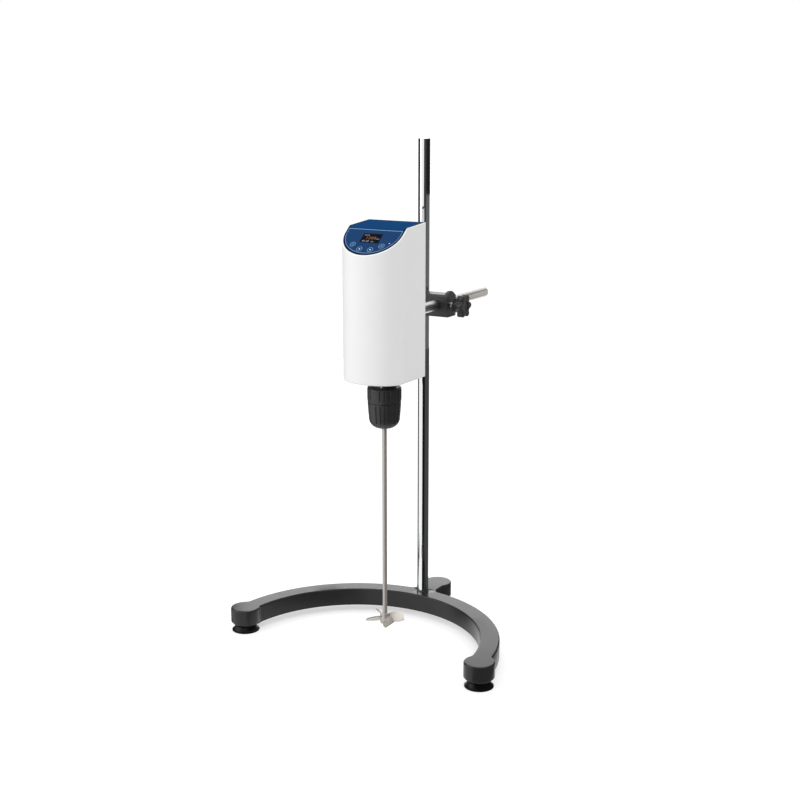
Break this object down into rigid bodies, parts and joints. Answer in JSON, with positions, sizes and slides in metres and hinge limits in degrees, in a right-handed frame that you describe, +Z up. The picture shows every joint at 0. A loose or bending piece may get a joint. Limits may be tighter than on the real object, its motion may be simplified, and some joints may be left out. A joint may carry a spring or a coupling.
{
  "type": "overhead stirrer",
  "caption": "Overhead laboratory stirrer: motor head with a sloped keypad on an arm clamped to a stand rod, C-shaped base, keyless chuck and propeller shaft.",
  "frame": {"origin": "middle of the plan outline on the surface the feet stand on", "axes": "+Z up along the stand rod, +Y to the rear along the arm, +X to the right seen from the front"},
  "size_m": [0.394, 0.324, 0.654],
  "materials": {
    "cast_base": "fine sand-textured powder coat",
    "foot_rubber": "matte moulded rubber",
    "zinc_screw": "zinc plated",
    "chrome_rod": "bright chrome plate",
    "knob_screw_steel": "bright plated",
    "clamp_black": "satin black over die casting",
    "knob_plastic": "moulded glass-filled nylon",
    "arm_steel": "turned and brushed",
    "shell_white": "smooth moulded",
    "cap_blue": "satin moulded",
    "overlay_blue": "printed film",
    "key_film": "printed film",
    "window_black": "polished acrylic",
    "module_black": "moulded",
    "board_green": "solder resist",
    "switch_dark": "moulded",
    "post_nylon": "natural nylon",
    "underside_grey": "moulded",
    "frame_aluminium": "cast and machined",
    "motor_steel": "painted",
    "bearing_steel": "ground",
    "stator_iron": "laminated",
    "rotor_iron": "ground",
    "spindle_steel": "hardened and ground",
    "chuck_plastic": "moulded glass-filled nylon",
    "shaft_steel": "satin stainless"
  },
  "bodies": {
    "stand": {"base_casting": "cast_base", "foot_pad_left": "foot_rubber", "foot_pad_right": "foot_rubber", "foot_pad_rear": "foot_rubber", "foot_screws": "zinc_screw", "stand_rod": "chrome_rod", "rod_washer": "zinc_screw", "rod_nut": "zinc_screw"},
    "clamp": {"clamp_body": "clamp_black"},
    "rod_knob": {"rod_knob_screw": "knob_screw_steel", "rod_knob": "knob_plastic"},
    "arm_knob": {"arm_knob_screw": "knob_screw_steel", "arm_knob": "knob_plastic"},
    "head": {"arm_rod": "arm_steel", "arm_set_screw": "zinc_screw", "head_shell": "shell_white", "top_cap": "cap_blue", "keypad_overlay": "overlay_blue", "display_window": "window_black", "display_module": "module_black", "control_board": "board_green", "board_posts": "post_nylon", "dome_switches": "switch_dark", "rear_cover": "shell_white", "cover_screws": "zinc_screw", "bottom_plate": "underside_grey", "bottom_screws": "zinc_screw", "motor_frame": "frame_aluminium", "lower_bearing": "bearing_steel", "upper_bearing": "bearing_steel", "motor_can": "motor_steel", "motor_bell": "frame_aluminium", "stator_core": "stator_iron", "drive_board": "board_green", "dc_inlet": "switch_dark"},
    "spindle": {"rotor_magnet": "rotor_iron", "spindle": "spindle_steel", "chuck_body": "spindle_steel", "chuck_rear_sleeve": "chuck_plastic", "chuck_grub": "zinc_screw"},
    "chuck_sleeve": {"chuck_front_sleeve": "chuck_plastic"},
    "jaw_1": {"chuck_jaw_1": "spindle_steel"},
    "jaw_2": {"chuck_jaw_2": "spindle_steel"},
    "jaw_3": {"chuck_jaw_3": "spindle_steel"},
    "shaft": {"stirring_shaft": "shaft_steel", "propeller": "shaft_steel", "propeller_screw": "zinc_screw"},
    "power_key": {"key_power": "key_film"},
    "down_key": {"key_down": "key_film"},
    "up_key": {"key_up": "key_film"},
    "set_key": {"key_set": "key_film"}
  },
  "joints": [
    {"name": "clamp_height", "type": "slide", "parent": "stand", "child": "clamp", "axis": [0, 0, 1], "range_m": [-0.02, 0.18]},
    {"name": "rod_knob_turn", "type": "hinge", "parent": "clamp", "child": "rod_knob", "pos_m": [-0.016, 0.033, 0.4385], "axis": [-1, 0, 0], "range_deg": [0, 720]},
    {"name": "arm_knob_turn", "type": "hinge", "parent": "clamp", "child": "arm_knob", "pos_m": [0.0414, 0.033, 0.4385], "axis": [1, 0, 0], "range_deg": [0, 720]},
    {"name": "arm_reach", "type": "slide", "parent": "clamp", "child": "head", "axis": [0, -1, 0], "range_m": [-0.08, 0.1]},
    {"name": "spindle_turn", "type": "hinge", "parent": "head", "child": "spindle", "pos_m": [0.024, -0.109, 0.355], "axis": [0, 0, 1], "continuous": true},
    {"name": "chuck_sleeve_turn", "type": "hinge", "parent": "spindle", "child": "chuck_sleeve", "pos_m": [0.024, -0.109, 0.32], "axis": [0, 0, 1], "range_deg": [0, 720]},
    {"name": "jaw_1_slide", "type": "slide", "parent": "spindle", "child": "jaw_1", "axis": [0.225, 0, 0.9744], "range_m": [0, 0.007]},
    {"name": "jaw_2_slide", "type": "slide", "parent": "spindle", "child": "jaw_2", "axis": [-0.1125, 0.1948, 0.9744], "range_m": [0, 0.007]},
    {"name": "jaw_3_slide", "type": "slide", "parent": "spindle", "child": "jaw_3", "axis": [-0.1125, -0.1948, 0.9744], "range_m": [0, 0.007]},
    {"name": "shaft_depth", "type": "slide", "parent": "spindle", "child": "shaft", "axis": [0, 0, 1], "range_m": [-0.01, 0.012]},
    {"name": "power_key_press", "type": "slide", "parent": "head", "child": "power_key", "axis": [0, 0.6293, -0.7771], "range_m": [0, 0.0004], "stiffness_N_per_m": 1500},
    {"name": "down_key_press", "type": "slide", "parent": "head", "child": "down_key", "axis": [0, 0.6293, -0.7771], "range_m": [0, 0.0004], "stiffness_N_per_m": 1500},
    {"name": "up_key_press", "type": "slide", "parent": "head", "child": "up_key", "axis": [0, 0.6293, -0.7771], "range_m": [0, 0.0004], "stiffness_N_per_m": 1500},
    {"name": "set_key_press", "type": "slide", "parent": "head", "child": "set_key", "axis": [0, 0.6293, -0.7771], "range_m": [0, 0.0004], "stiffness_N_per_m": 1500}
  ],
  "couplings": [
    {"joint": "jaw_1_slide", "follows": "chuck_sleeve_turn", "m_per_rad": 0.00055704},
    {"joint": "jaw_2_slide", "follows": "chuck_sleeve_turn", "m_per_rad": 0.00055704},
    {"joint": "jaw_3_slide", "follows": "chuck_sleeve_turn", "m_per_rad": 0.00055704}
  ]
}
